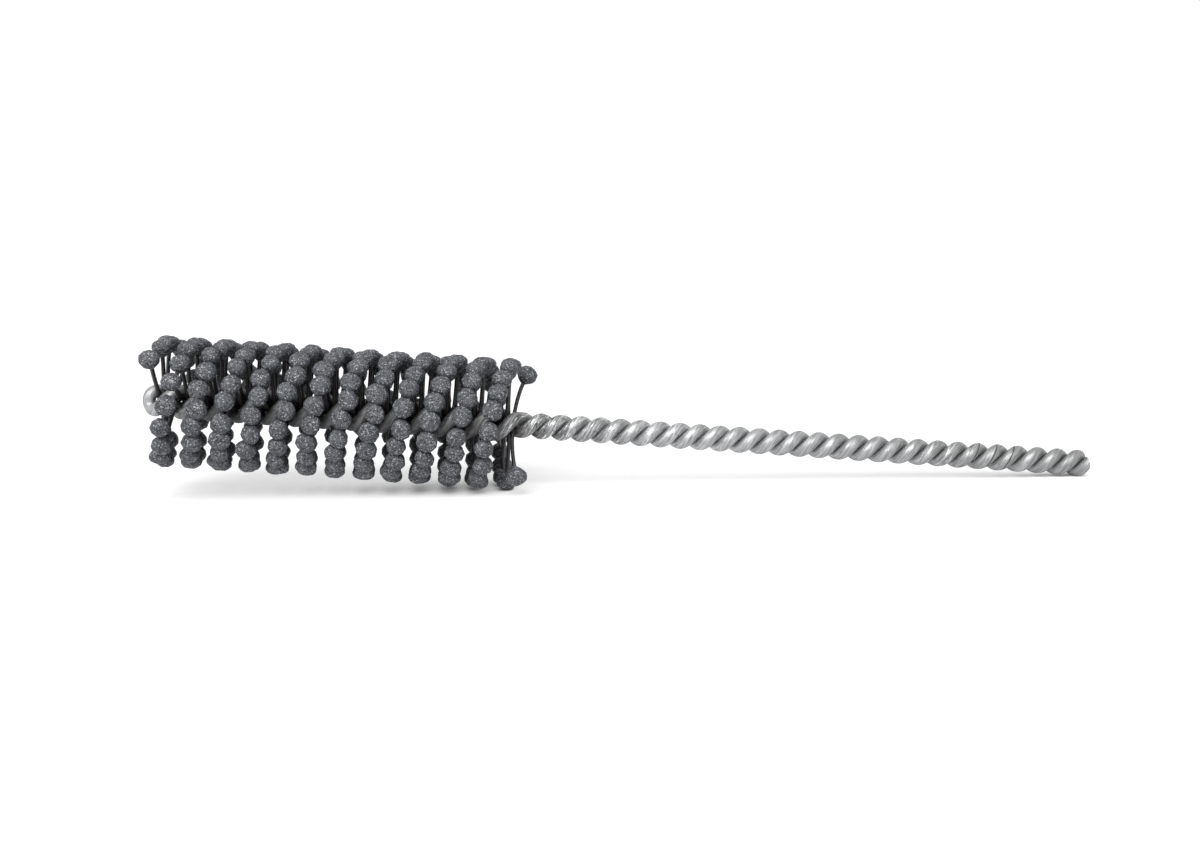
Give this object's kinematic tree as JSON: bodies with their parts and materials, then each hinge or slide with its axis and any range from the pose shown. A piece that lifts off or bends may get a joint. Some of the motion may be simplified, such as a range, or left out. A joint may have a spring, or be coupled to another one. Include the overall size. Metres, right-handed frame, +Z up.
{
  "type": "flexible ball hone",
  "caption": "Flexible bore hone: a twisted wire stem with rows of nylon filaments, each tipped with abrasive globules, and a plain twisted shank for a drill chuck.",
  "frame": {"origin": "on the floor under the middle of the hone as it lies, resting on its tip and its lowest globule", "axes": "+Z up from the floor, +X from the brush toward the shank's tip, +Y away from the picture's viewer; the hone's own axis slopes down toward +X by 5.34 degrees"},
  "size_m": [0.2024, 0.0286, 0.0351],
  "materials": {
    "stem_wire": "galvanised, dull bright with drawn highlights",
    "filaments": "black nylon, satin",
    "globules": "coarse silicon carbide grit in a dark grey bond, rough with bright grains"
  },
  "bodies": {
    "stem": {"stem_wire": "stem_wire", "filaments_row_01": "filaments", "filaments_row_02": "filaments", "filaments_row_03": "filaments", "filaments_row_04": "filaments", "filaments_row_05": "filaments", "filaments_row_06": "filaments", "filaments_row_07": "filaments", "filaments_row_08": "filaments", "filaments_row_09": "filaments", "filaments_row_10": "filaments", "filaments_row_11": "filaments", "filaments_row_12": "filaments"},
    "row_01": {"globules_row_01": "globules"},
    "row_02": {"globules_row_02": "globules"},
    "row_03": {"globules_row_03": "globules"},
    "row_04": {"globules_row_04": "globules"},
    "row_05": {"globules_row_05": "globules"},
    "row_06": {"globules_row_06": "globules"},
    "row_07": {"globules_row_07": "globules"},
    "row_08": {"globules_row_08": "globules"},
    "row_09": {"globules_row_09": "globules"},
    "row_10": {"globules_row_10": "globules"},
    "row_11": {"globules_row_11": "globules"},
    "row_12": {"globules_row_12": "globules"}
  },
  "joints": [
    {"name": "row_07_lean", "type": "slide", "parent": "stem", "child": "row_07", "axis": [0.9957, 0, -0.0931], "range_m": [-0.003, 0.003], "stiffness_N_per_m": 4713.3, "deforming": ["filaments_row_07"]},
    {"name": "row_01_lean", "type": "slide", "parent": "stem", "child": "row_01", "axis": [0.9957, 0, -0.0931], "range_m": [-0.003, 0.003], "stiffness_N_per_m": 4713.3, "deforming": ["filaments_row_01"]},
    {"name": "row_02_lean", "type": "slide", "parent": "stem", "child": "row_02", "axis": [0.9957, 0, -0.0931], "range_m": [-0.003, 0.003], "stiffness_N_per_m": 4713.3, "deforming": ["filaments_row_02"]},
    {"name": "row_03_lean", "type": "slide", "parent": "stem", "child": "row_03", "axis": [0.9957, 0, -0.0931], "range_m": [-0.003, 0.003], "stiffness_N_per_m": 4713.3, "deforming": ["filaments_row_03"]},
    {"name": "row_04_lean", "type": "slide", "parent": "stem", "child": "row_04", "axis": [0.9957, 0, -0.0931], "range_m": [-0.003, 0.003], "stiffness_N_per_m": 4242, "deforming": ["filaments_row_04"]},
    {"name": "row_05_lean", "type": "slide", "parent": "stem", "child": "row_05", "axis": [0.9957, 0, -0.0931], "range_m": [-0.003, 0.003], "stiffness_N_per_m": 4713.3, "deforming": ["filaments_row_05"]},
    {"name": "row_06_lean", "type": "slide", "parent": "stem", "child": "row_06", "axis": [0.9957, 0, -0.0931], "range_m": [-0.003, 0.003], "stiffness_N_per_m": 4242, "deforming": ["filaments_row_06"]},
    {"name": "row_08_lean", "type": "slide", "parent": "stem", "child": "row_08", "axis": [0.9957, 0, -0.0931], "range_m": [-0.003, 0.003], "stiffness_N_per_m": 4713.3, "deforming": ["filaments_row_08"]},
    {"name": "row_09_lean", "type": "slide", "parent": "stem", "child": "row_09", "axis": [0.9957, 0, -0.0931], "range_m": [-0.003, 0.003], "stiffness_N_per_m": 4242, "deforming": ["filaments_row_09"]},
    {"name": "row_10_lean", "type": "slide", "parent": "stem", "child": "row_10", "axis": [0.9957, 0, -0.0931], "range_m": [-0.003, 0.003], "stiffness_N_per_m": 4713.3, "deforming": ["filaments_row_10"]},
    {"name": "row_11_lean", "type": "slide", "parent": "stem", "child": "row_11", "axis": [0.9957, 0, -0.0931], "range_m": [-0.003, 0.003], "stiffness_N_per_m": 4713.3, "deforming": ["filaments_row_11"]},
    {"name": "row_12_lean", "type": "slide", "parent": "stem", "child": "row_12", "axis": [0.9957, 0, -0.0931], "range_m": [-0.003, 0.003], "stiffness_N_per_m": 5184.6, "deforming": ["filaments_row_12"]}
  ],
  "couplings": [
    {"joint": "row_01_lean", "follows": "row_07_lean", "ratio": 1},
    {"joint": "row_02_lean", "follows": "row_07_lean", "ratio": 1},
    {"joint": "row_03_lean", "follows": "row_07_lean", "ratio": 1},
    {"joint": "row_04_lean", "follows": "row_07_lean", "ratio": 1},
    {"joint": "row_05_lean", "follows": "row_07_lean", "ratio": 1},
    {"joint": "row_06_lean", "follows": "row_07_lean", "ratio": 1},
    {"joint": "row_08_lean", "follows": "row_07_lean", "ratio": 1},
    {"joint": "row_09_lean", "follows": "row_07_lean", "ratio": 1},
    {"joint": "row_10_lean", "follows": "row_07_lean", "ratio": 1},
    {"joint": "row_11_lean", "follows": "row_07_lean", "ratio": 1},
    {"joint": "row_12_lean", "follows": "row_07_lean", "ratio": 1}
  ]
}
